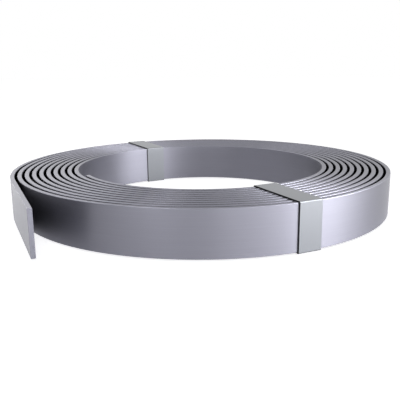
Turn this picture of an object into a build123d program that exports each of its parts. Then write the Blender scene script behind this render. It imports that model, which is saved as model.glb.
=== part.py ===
from build123d import *
import math
import os

# Coil of flat steel strip, wound on edge in open turns and tied by two flat bands.
# Millimetres. The origin is on the axis of the coil, at the floor; +Z is up, and the coil lies flat.

# Strip
strip_width = 30.0
strip_thickness = 3.0

# Winding, seen from above: it opens out anticlockwise from the inner end to the straight tail
turns = 10
inner_end_radius = 90.4
turn_gap = 2.08
inner_end_angle = 206.6
tail_angle = 203.5
tail_length = 85.0
arcs_per_turn = 4

# Bands: flat straps bent round all the turns
band_width = 16.0
band_thickness = 0.6
band_bend_radius = 0.3
band_clearance = 0.1
band_angles = {"front_band": -63.7, "back_band": 117.5}

# A band stands off by what its bends need to clear the strip's square edges.
# The strip lies on the lower legs of the bands.
band_standoff = band_clearance + band_bend_radius * (1 - math.sqrt(1 / 2))
strip_base = band_thickness + band_standoff
full_turn = 360
pitch = strip_thickness + turn_gap
winding_angle = full_turn * turns + tail_angle - inner_end_angle


def winding_side(first_radius):
    """One long side of the strip seen from above: tangent arcs of growing radius, then the straight tail."""
    arcs = arcs_per_turn * turns
    arc_angle = winding_angle / arcs
    arc_growth = pitch * arc_angle / full_turn
    point = Vector(first_radius, arc_growth / 2)
    heading = Vector(0, 1)
    side = []
    for arc in range(arcs):
        radius = first_radius + arc_growth * (arc + 1 / 2)
        side.append(JernArc(point, heading, radius, arc_angle))
        point = side[-1] @ 1
        heading = side[-1] % 1
    side.append(PolarLine(point, tail_length, direction=heading))
    return side


def steel_strip():
    """The strip, one length on edge: its outline from above, raised to its width."""
    inside = winding_side(inner_end_radius)
    outside = winding_side(inner_end_radius + strip_thickness)
    inner_end = Line(inside[0] @ 0, outside[0] @ 0)
    tail_end = Line(inside[-1] @ 1, outside[-1] @ 1)
    outline = make_face([*inside, *outside, inner_end, tail_end])
    return Pos(0, 0, strip_base) * Rot(0, 0, inner_end_angle) * extrude(outline, strip_width)


def band(angle):
    """A strap round every turn that passes this angle: straight legs, rounded bends, no slack."""
    first_pass = (angle - inner_end_angle) % full_turn
    later_passes = (winding_angle - first_pass) // full_turn
    inside = inner_end_radius + pitch * first_pass / full_turn
    outside = inside + pitch * later_passes + strip_thickness
    # The flat inner leg meets the hollow side of the first turn along its two edges
    inner_leg = math.sqrt(inside ** 2 - (band_width / 2) ** 2) - band_standoff
    outer_leg = outside + band_standoff
    window = RectangleRounded(outer_leg - inner_leg, strip_width + band_standoff * 2, band_bend_radius)
    strap = extrude(Plane.XZ * (offset(window, band_thickness) - window), band_width / 2, both=True)
    middle = Pos((inner_leg + outer_leg) / 2, 0, strip_base + strip_width / 2)
    return Rot(0, 0, angle) * middle * strap


os.makedirs("parts", exist_ok=True)
export_step(steel_strip(), "parts/steel_strip.step")
for name, angle in band_angles.items():
    export_step(band(angle), f"parts/{name}.step")
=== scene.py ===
import math

import bmesh
import bpy
from mathutils import Matrix, Vector


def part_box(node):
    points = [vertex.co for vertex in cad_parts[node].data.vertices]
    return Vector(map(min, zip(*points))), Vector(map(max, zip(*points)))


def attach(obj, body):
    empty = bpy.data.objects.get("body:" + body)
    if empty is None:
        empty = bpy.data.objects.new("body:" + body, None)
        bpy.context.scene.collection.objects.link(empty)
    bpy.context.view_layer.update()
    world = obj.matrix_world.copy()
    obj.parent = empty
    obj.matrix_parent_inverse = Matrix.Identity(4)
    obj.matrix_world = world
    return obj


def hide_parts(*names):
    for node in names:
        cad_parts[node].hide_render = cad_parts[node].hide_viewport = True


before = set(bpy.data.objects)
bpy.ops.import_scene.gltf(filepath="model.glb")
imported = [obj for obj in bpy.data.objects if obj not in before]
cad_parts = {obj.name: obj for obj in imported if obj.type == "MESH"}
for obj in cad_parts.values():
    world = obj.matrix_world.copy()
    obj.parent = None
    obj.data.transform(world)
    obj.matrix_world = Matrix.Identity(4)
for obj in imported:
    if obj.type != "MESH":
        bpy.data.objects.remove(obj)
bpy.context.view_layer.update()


# Steel strip: one length of flat rolled steel, 30 x 3 mm, slit to width and wound on edge in ten open turns.
# Satin steel with its grain along the strip, and painted shade, dark and matt, where one turn covers the
# next.
# The slit edges are rounded and painted paler along their crowns, partly as rubbed wear and partly as a
# painted highlight; the ends are sheared, and the outer end has sprung away.

strip_low, strip_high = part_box("steel_strip")
strip_width = strip_high.z - strip_low.z
strip_middle = (strip_low.z + strip_high.z) / 2
strip_thickness = 0.003
edge_round = 0.0004
edge_steps = 3
shear_round = 0.00015
shear_steps = 2
turns = 10
turn_gap = 0.00208
inner_end_radius = 0.0904
inner_end_angle = math.radians(206.6)
tail_angle = math.radians(203.5)
tail_length = 0.085
arcs_per_turn = 4
arc_steps = 32

quarter = math.pi / 2
half_thickness = strip_thickness / 2
pitch = strip_thickness + turn_gap
middle_radius = inner_end_radius + half_thickness
arcs = arcs_per_turn * turns
arc_angle = (math.tau * turns + tail_angle - inner_end_angle) / arcs
arc_growth = pitch * arc_angle / math.tau

steel_dark = (0.158, 0.158, 0.187)
steel_pale = (0.186, 0.186, 0.219)
steel_roughness = (0.44, 0.50)
grain_scale = (25, 3500, 3500)
grain_detail = 3.0
grain_depth = 0.0001
grain_strength = 0.02
grain_spread = 0.7
across_grain = 0.25
cloud_scale = 45.0
cloud_detail = 4.0
# Crowns of the rounded edges, painted paler: partly rubbed wear, partly a painted highlight
edge_crown = 0.00012
edge_brightening = 1.4
# Painted shade in the gaps between the turns: where it starts and is full from top and bottom, its fade at
# the open faces, and the metal left under it
gap_shade_start = 0.0004
gap_shade_full = 0.001
gap_shade_fade = 0.03
metal_left_in_gap_shade = 0.05


def pointing(angle):
    """The unit vector on the floor at this angle from +X, anticlockwise seen from above."""
    return Vector((math.cos(angle), math.sin(angle), 0))


def picked(geometry, kind):
    """The parts of one kind, such as vertices, from what an operator gives back."""
    return [part for part in geometry if isinstance(part, kind)]


def wound_strip():
    """Sweeps the strip's section along the winding: tangent arcs of growing radius, then a straight tail."""
    mesh = bmesh.new()
    radial = pointing(inner_end_angle)
    onward = pointing(inner_end_angle + quarter)
    middle = radial * middle_radius + onward * arc_growth / 2
    middle.z = strip_middle
    section = Matrix.Translation(middle) @ Matrix((radial, (0, 0, 1), -onward)).transposed().to_4x4()
    section @= Matrix.Diagonal((half_thickness, strip_width / 2, 1, 1))
    bmesh.ops.create_grid(mesh, x_segments=1, y_segments=1, size=1, matrix=section)
    bmesh.ops.bevel(mesh, geom=mesh.verts[:], offset=edge_round, segments=edge_steps, profile=0.5,
                    affect="VERTICES", material=-1)

    # Each point keeps its place on the flat strip (run along it, depth, height) and the strip's heading there
    flat_place = mesh.verts.layers.float_vector.new("flat_place")
    heading = mesh.verts.layers.float_vector.new("heading")
    for vert in mesh.verts:
        vert[flat_place] = (0, (vert.co - middle).dot(radial), vert.co.z - strip_low.z)
        vert[heading] = onward
    ring = mesh.edges[:]
    ring_size = len(mesh.verts)
    centre = (onward - radial) * arc_growth / 2
    run = 0
    for arc in range(arcs):
        swept_before = len(mesh.verts)
        swept = bmesh.ops.spin(mesh, geom=ring, cent=centre, axis=(0, 0, 1), angle=arc_angle, steps=arc_steps)
        ring = picked(swept["geom_last"], bmesh.types.BMEdge)
        mesh.verts.ensure_lookup_table()
        radius = middle_radius + arc_growth * (arc + 1 / 2)
        for index, vert in enumerate(mesh.verts[swept_before:]):
            turned = arc_angle * (index // ring_size + 1) / arc_steps
            vert[flat_place].x = run + radius * turned
            vert[heading] = pointing(inner_end_angle + quarter + arc_angle * arc + turned)
        run += radius * arc_angle
        centre -= pointing(inner_end_angle + arc_angle * (arc + 1)) * arc_growth

    tail = bmesh.ops.extrude_edge_only(mesh, edges=ring)["geom"]
    tail_end = picked(tail, bmesh.types.BMVert)
    bmesh.ops.translate(mesh, verts=tail_end, vec=pointing(tail_angle + quarter) * tail_length)
    for vert in tail_end:
        vert[flat_place].x = run + tail_length
    bmesh.ops.contextual_create(mesh, geom=picked(tail, bmesh.types.BMEdge))
    bmesh.ops.recalc_face_normals(mesh, faces=mesh.faces)
    sheared = [edge for face in mesh.faces if len(face.verts) == ring_size for edge in face.edges]
    bmesh.ops.bevel(mesh, geom=sheared, offset=shear_round, segments=shear_steps, profile=0.5,
                    affect="EDGES", material=-1)
    return mesh


def finished(name, mesh, material, node):
    """Makes a piece of a modelled mesh: smooth shading, its finish, its body and the solid it stands for."""
    for face in mesh.faces:
        face.smooth = True
    data = bpy.data.meshes.new(name)
    mesh.to_mesh(data)
    mesh.free()
    data.materials.append(material)
    piece = bpy.data.objects.new(name, data)
    bpy.context.scene.collection.objects.link(piece)
    piece.modifiers.new("flat faces stay flat", "WEIGHTED_NORMAL")
    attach(piece, "root")
    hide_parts(node)


def add_node(owner, kind, **inputs):
    """Adds a node to a material or to the room. An input is a value, or the output that feeds it."""
    node = owner.node_tree.nodes.new("ShaderNode" + kind)
    for name, value in inputs.items():
        socket = node.inputs[name.replace("_", " ")]
        if isinstance(value, bpy.types.NodeSocket):
            owner.node_tree.links.new(value, socket)
        else:
            socket.default_value = value
    return node


def attribute(material, name):
    """A vector that the piece's points carry."""
    node = add_node(material, "Attribute")
    node.attribute_name = name
    return node.outputs["Vector"]


def noise(material, place, scale, detail):
    """A share from zero to one that drifts over the surface."""
    return add_node(material, "TexNoise", Vector=place, Scale=scale, Detail=detail).outputs["Fac"]


def between(material, share, darker, paler):
    """A colour between two colours, by a share that a texture gives."""
    node = add_node(material, "ValToRGB", Fac=share)
    node.color_ramp.elements[0].color = (*darker, 1)
    node.color_ramp.elements[1].color = (*paler, 1)
    return node.outputs["Color"]


def ranged(owner, share, first, last):
    """A number from the first to the last, by a share from zero to one."""
    return add_node(owner, "MapRange", Value=share, To_Min=first, To_Max=last).outputs["Result"]


def ramp(material, value, start, stop):
    """Zero before start, one after stop and a smooth step between them."""
    node = add_node(material, "MapRange", Value=value, From_Min=start, From_Max=stop)
    node.interpolation_type = "SMOOTHSTEP"
    return node.outputs["Result"]


def combined(owner, operation, *values):
    """Combines values one after another: MULTIPLY, MAXIMUM and so on."""
    result = values[0]
    for value in values[1:]:
        node = add_node(owner, "Math")
        node.operation = operation
        owner.node_tree.links.new(result, node.inputs[0])
        owner.node_tree.links.new(value, node.inputs[1])
        result = node.outputs["Value"]
    return result


def scaled(material, colour, amount):
    """A colour made darker or paler by an amount that differs over the surface."""
    node = add_node(material, "VectorMath")
    node.operation = "SCALE"
    material.node_tree.links.new(colour, node.inputs["Vector"])
    material.node_tree.links.new(amount, node.inputs["Scale"])
    return node.outputs["Vector"]


def metal(name):
    """A metal and its shader, for the finish to fill in. What is not bare metal on it has no gloss."""
    material = bpy.data.materials.new(name)
    material.use_nodes = True
    shader = material.node_tree.nodes["Principled BSDF"]
    shader.inputs["Specular IOR Level"].default_value = 0
    return material, shader


def coloured(material, shader, colour, painted_shade, metal_left_in_shade):
    """Gives the metal its colour, and makes it dark and matt where the painted shade lies."""
    unshaded = ranged(material, painted_shade, 1.0, metal_left_in_shade)
    material.node_tree.links.new(scaled(material, colour, unshaded), shader.inputs["Base Color"])
    material.node_tree.links.new(unshaded, shader.inputs["Metallic"])


def wound_run(turns_done):
    """The length of strip in the first turns of the winding, along the middle of its thickness."""
    return math.tau * turns_done * (middle_radius + pitch * turns_done / 2)


def painted_gap_shade(material, run, depth, height):
    """Painted shade between the turns: one on the faces that another turn covers, and zero on the edges and
    the two open faces.
    """
    last_turn = wound_run(turns - 1)
    outer = combined(material, "MULTIPLY",
                     ramp(material, depth, half_thickness - edge_round / 2, half_thickness),
                     ramp(material, run, last_turn + gap_shade_fade, last_turn))
    inner = combined(material, "MULTIPLY",
                     ramp(material, depth, edge_round / 2 - half_thickness, -half_thickness),
                     ramp(material, run, wound_run(1), wound_run(1) + gap_shade_fade),
                     ramp(material, run, wound_run(turns), wound_run(turns) - gap_shade_fade))
    return combined(material, "MULTIPLY",
                    combined(material, "MAXIMUM", outer, inner),
                    ramp(material, height, gap_shade_start, gap_shade_full),
                    ramp(material, height, strip_width - gap_shade_start, strip_width - gap_shade_full))


def rubbed_and_highlit(material, depth, height):
    """The paler edge crowns, partly rubbed wear and partly a painted highlight: one along the middle of the
    rounded edges, and zero on the faces beside them.
    """
    long_sides = combined(material, "MAXIMUM",
                          ramp(material, depth, half_thickness - edge_round, half_thickness - edge_crown),
                          ramp(material, depth, edge_round - half_thickness, edge_crown - half_thickness))
    rims = combined(material, "MAXIMUM",
                    ramp(material, height, strip_width - edge_round, strip_width - edge_crown),
                    ramp(material, height, edge_round, edge_crown))
    return combined(material, "MULTIPLY", long_sides, rims)


def satin_steel():
    """Rolled steel: grain lines along the strip that spread its reflections, and cloudy changes of gloss."""
    material, shader = metal("satin_steel")
    shader.inputs["Anisotropic"].default_value = grain_spread
    shader.inputs["Anisotropic Rotation"].default_value = across_grain
    place = attribute(material, "flat_place")
    drawn = add_node(material, "Mapping", Vector=place, Scale=grain_scale).outputs["Vector"]
    grain = noise(material, drawn, 1.0, grain_detail)
    cloud = noise(material, place, cloud_scale, cloud_detail)
    relief = add_node(material, "Bump", Height=grain, Strength=grain_strength, Distance=grain_depth)
    split = add_node(material, "SeparateXYZ", Vector=place).outputs
    run, depth, height = split["X"], split["Y"], split["Z"]
    # Painted highlight, partly rubbed wear: the crowns of the rounded edges are made paler
    brightening = ranged(material, rubbed_and_highlit(material, depth, height), 1.0, edge_brightening)
    colour = scaled(material, between(material, grain, steel_dark, steel_pale), brightening)
    # Painted shade: the faces in the gaps between the turns are made dark and matt
    coloured(material, shader, colour, painted_gap_shade(material, run, depth, height), metal_left_in_gap_shade)
    links = material.node_tree.links
    links.new(ranged(material, cloud, *steel_roughness), shader.inputs["Roughness"])
    links.new(relief.outputs["Normal"], shader.inputs["Normal"])
    links.new(attribute(material, "heading"), shader.inputs["Tangent"])
    return material


finished("steel_strip_wound", wound_strip(), satin_steel(), "steel_strip")


# Bands: two flat steel straps, 16 x 0.6 mm, each bent round all the turns and closed on itself.
# Smooth zinc-grey strapping, matt under a thin clear coat, with painted shade on its cut rims.
# They lie flat on the turns and carry the coil clear of the floor.

band_width = 0.016
band_thickness = 0.0006
band_bend_radius = 0.0003
band_edge_round = 0.0001
band_standoff = strip_low.z - band_thickness
bend_steps = 4
rim_steps = 2
rim_angle = math.radians(60)
band_angles = {"front_band": math.radians(-63.7), "back_band": math.radians(117.5)}

strap_dark = (0.150, 0.157, 0.172)
strap_pale = (0.168, 0.175, 0.190)
strap_roughness = (0.50, 0.57)
line_scale = (40, 3000, 40)
line_detail = 2.0
coat_weight = 0.5
coat_roughness = 0.3
# Share of metal left in the painted shade on the cut rims
metal_left_in_rim_shade = 0.1


def bent_strap(angle):
    """The strap's inner side as a loop round the turns, drawn out to its width and thickened outwards."""
    first_pass = (angle - inner_end_angle) % math.tau
    inside = inner_end_radius + pitch * first_pass / math.tau
    outside = inside + pitch * (turns - 1) + strip_thickness
    inner_leg = math.sqrt(inside ** 2 - (band_width / 2) ** 2) - band_standoff
    outer_leg = outside + band_standoff
    mesh = bmesh.new()
    middle = Vector(((inner_leg + outer_leg) / 2, -band_width / 2, strip_middle))
    window = Matrix.Translation(middle) @ Matrix.Rotation(quarter, 4, "X")
    window @= Matrix.Diagonal(((outer_leg - inner_leg) / 2, strip_width / 2 + band_standoff, 1, 1))
    bmesh.ops.create_grid(mesh, x_segments=1, y_segments=1, size=1, matrix=window)
    bmesh.ops.bevel(mesh, geom=mesh.verts[:], offset=band_bend_radius, segments=bend_steps, profile=0.5,
                    affect="VERTICES", material=-1)
    bmesh.ops.delete(mesh, geom=mesh.faces[:], context="FACES_ONLY")
    drawn = bmesh.ops.extrude_edge_only(mesh, edges=mesh.edges[:])["geom"]
    bmesh.ops.translate(mesh, verts=picked(drawn, bmesh.types.BMVert), vec=(0, band_width, 0))
    bmesh.ops.recalc_face_normals(mesh, faces=mesh.faces)
    bmesh.ops.solidify(mesh, geom=mesh.faces[:], thickness=-band_thickness)
    bmesh.ops.recalc_face_normals(mesh, faces=mesh.faces)
    rims = [edge for edge in mesh.edges if edge.calc_face_angle(0) > rim_angle]
    bmesh.ops.bevel(mesh, geom=rims, offset=band_edge_round, segments=rim_steps, profile=0.5,
                    affect="EDGES", material=-1)

    # Each point keeps its place on the strap before the strap is turned to its angle
    own_place = mesh.verts.layers.float_vector.new("own_place")
    for vert in mesh.verts:
        vert[own_place] = vert.co
    bmesh.ops.rotate(mesh, verts=mesh.verts, cent=(0, 0, 0), matrix=Matrix.Rotation(angle, 3, "Z"))
    return mesh


def strapping_steel():
    """Matt strapping with a thin clear coat: faint lines along its length, and painted shade on the cut rims.
    """
    material, shader = metal("strapping_steel")
    shader.inputs["Coat Weight"].default_value = coat_weight
    shader.inputs["Coat Roughness"].default_value = coat_roughness
    place = attribute(material, "own_place")
    drawn = add_node(material, "Mapping", Vector=place, Scale=line_scale).outputs["Vector"]
    lines = noise(material, drawn, 1.0, line_detail)
    across = add_node(material, "SeparateXYZ", Vector=place).outputs["Y"]
    rim = band_width / 2
    # Painted shade on the cut rims, for the dark line along the strap's edge
    painted_rim_shade = combined(material, "MAXIMUM",
                   ramp(material, across, rim - band_edge_round, rim),
                   ramp(material, across, band_edge_round - rim, -rim))
    coloured(material, shader, between(material, lines, strap_dark, strap_pale), painted_rim_shade, metal_left_in_rim_shade)
    roughness = ranged(material, lines, *strap_roughness)
    material.node_tree.links.new(roughness, shader.inputs["Roughness"])
    return material


strapping = strapping_steel()
for node, angle in band_angles.items():
    finished(node + "_strap", bent_strap(angle), strapping, node)


# Floor: a plain pale studio floor, wide enough to fill the view.
# It is nearly white to the camera and in the steel, and the coil's shadow takes the lamps' share of it away.

floor_half = 3.0
floor_paint = (0.9, 0.9, 0.9, 1)
floor_white = (0.78, 0.78, 0.78, 1)


def seen_white(owner):
    """One for what the camera or a reflection looks at, and zero for the light that falls on things."""
    rays = add_node(owner, "LightPath").outputs
    return combined(owner, "MAXIMUM",
                    rays["Is Camera Ray"], rays["Is Glossy Ray"], rays["Is Transmission Ray"])


floor_mesh = bmesh.new()
bmesh.ops.create_grid(floor_mesh, x_segments=1, y_segments=1, size=floor_half)
floor_data = bpy.data.meshes.new("floor")
floor_mesh.to_mesh(floor_data)
floor_mesh.free()
floor = bpy.data.objects.new("floor", floor_data)
bpy.context.scene.collection.objects.link(floor)

pale = bpy.data.materials.new("pale_floor")
pale.use_nodes = True
pale.node_tree.nodes.remove(pale.node_tree.nodes["Principled BSDF"])
matt = add_node(pale, "BsdfDiffuse", Color=floor_paint)
white = add_node(pale, "Emission", Color=floor_white, Strength=seen_white(pale))
surface = add_node(pale, "AddShader")
pale.node_tree.links.new(matt.outputs["BSDF"], surface.inputs[0])
pale.node_tree.links.new(white.outputs["Emission"], surface.inputs[1])
pale.node_tree.links.new(surface.outputs["Shader"], pale.node_tree.nodes["Material Output"].inputs["Surface"])
floor_data.materials.append(pale)


# Light: an even white room, white to the camera and in the steel, which gives the floor a gentle light.
# Soft boxes, low lights and a small light stand round the coil for the steel to mirror. The low ones stay
# below its top and miss the bore. Of all the lamps only the box at the back left also falls on the floor.

room_level = 0.25
white_level = 1.0
box_size = 0.3
low_size = 0.045
low_height = low_size / 2
low_reach = 0.6
small_size = 0.06
lit_radius = inner_end_radius + pitch * turns / 2

room = bpy.data.worlds.new("white_room")
room.use_nodes = True
bpy.context.scene.world = room
backdrop = room.node_tree.nodes["Background"]
backdrop.inputs["Color"].default_value = (1, 1, 1, 1)
level = ranged(room, seen_white(room), room_level, white_level)
room.node_tree.links.new(level, backdrop.inputs["Strength"])


def soft_box(name, azimuth, reach, height, wide, tall, power):
    """A lamp at this place round the coil, turned towards the turns on that side."""
    light = bpy.data.lights.new(name, "AREA")
    light.shape = "RECTANGLE"
    light.size = wide
    light.size_y = tall
    light.energy = power
    lamp = bpy.data.objects.new(name, light)
    outward = pointing(math.radians(azimuth))
    lamp.location = outward * reach + Vector((0, 0, height))
    aim = outward * lit_radius + Vector((0, 0, strip_width / 2))
    lamp.rotation_euler = (aim - lamp.location).to_track_quat("-Z", "Y").to_euler()
    bpy.context.scene.collection.objects.link(lamp)
    return lamp


soft_box("back_left_soft_box", azimuth=150, reach=0.45, height=0.5, wide=box_size, tall=box_size, power=0.8)
for name, azimuth, reach, height, wide, tall, power in (
        ("front_right_soft_box", -70, 0.6, 0.12, box_size, box_size, 0.5),
        ("right_front_soft_box", -45, 0.6, 0.12, box_size, box_size, 1.5),
        ("right_soft_box", -30, 0.6, 0.25, box_size, box_size, 2.6),
        ("right_back_soft_box", -8, 0.6, 0.25, box_size, box_size, 4.3),
        ("back_right_soft_box", 33, 0.55, 0.38, box_size, box_size, 0.45),
        ("back_soft_box", 120, 0.7, 0.3, box_size, box_size, 0.34),
        ("front_left_low_light", -125, low_reach, low_height, box_size, low_size, 0.2),
        ("front_low_light", -100, low_reach, low_height, box_size, low_size, 0.33),
        ("front_right_low_light", -70, low_reach, low_height, box_size, low_size, 0.48),
        ("right_low_light", -30, low_reach, low_height, box_size, low_size, 1.11),
        ("tail_low_light", 140, low_reach, low_height, box_size, low_size, 0.25),
        ("front_small_light", -110, 0.2, 0.1, small_size, small_size, 0.045)):
    soft_box(name, azimuth, reach, height, wide, tall, power).visible_diffuse = False


# Camera: a little above the coil and close to it, with the photograph's lens.
# It leans a little to one side, as the photograph does.

view_distance = 0.444524
view_height = 0.109148
view_pan = -0.00443
view_tilt = 0.23964
view_roll = -0.0112
focal_pixels = 572.75
image_pixels = 400

camera_data = bpy.data.cameras.new("camera")
camera_data.lens = focal_pixels / image_pixels * camera_data.sensor_width
camera = bpy.data.objects.new("camera", camera_data)
forward = pointing(quarter - view_pan) * math.cos(view_tilt) - Vector((0, 0, math.sin(view_tilt)))
side = pointing(-view_pan)
upright = Matrix((side, side.cross(forward), -forward)).transposed()
leaning = (upright @ Matrix.Rotation(view_roll, 3, "Z")).to_4x4()
camera.matrix_world = Matrix.Translation((0, -view_distance, strip_low.z + view_height)) @ leaning
bpy.context.scene.collection.objects.link(camera)
bpy.context.scene.camera = camera
bpy.context.scene.view_settings.view_transform = "Standard"
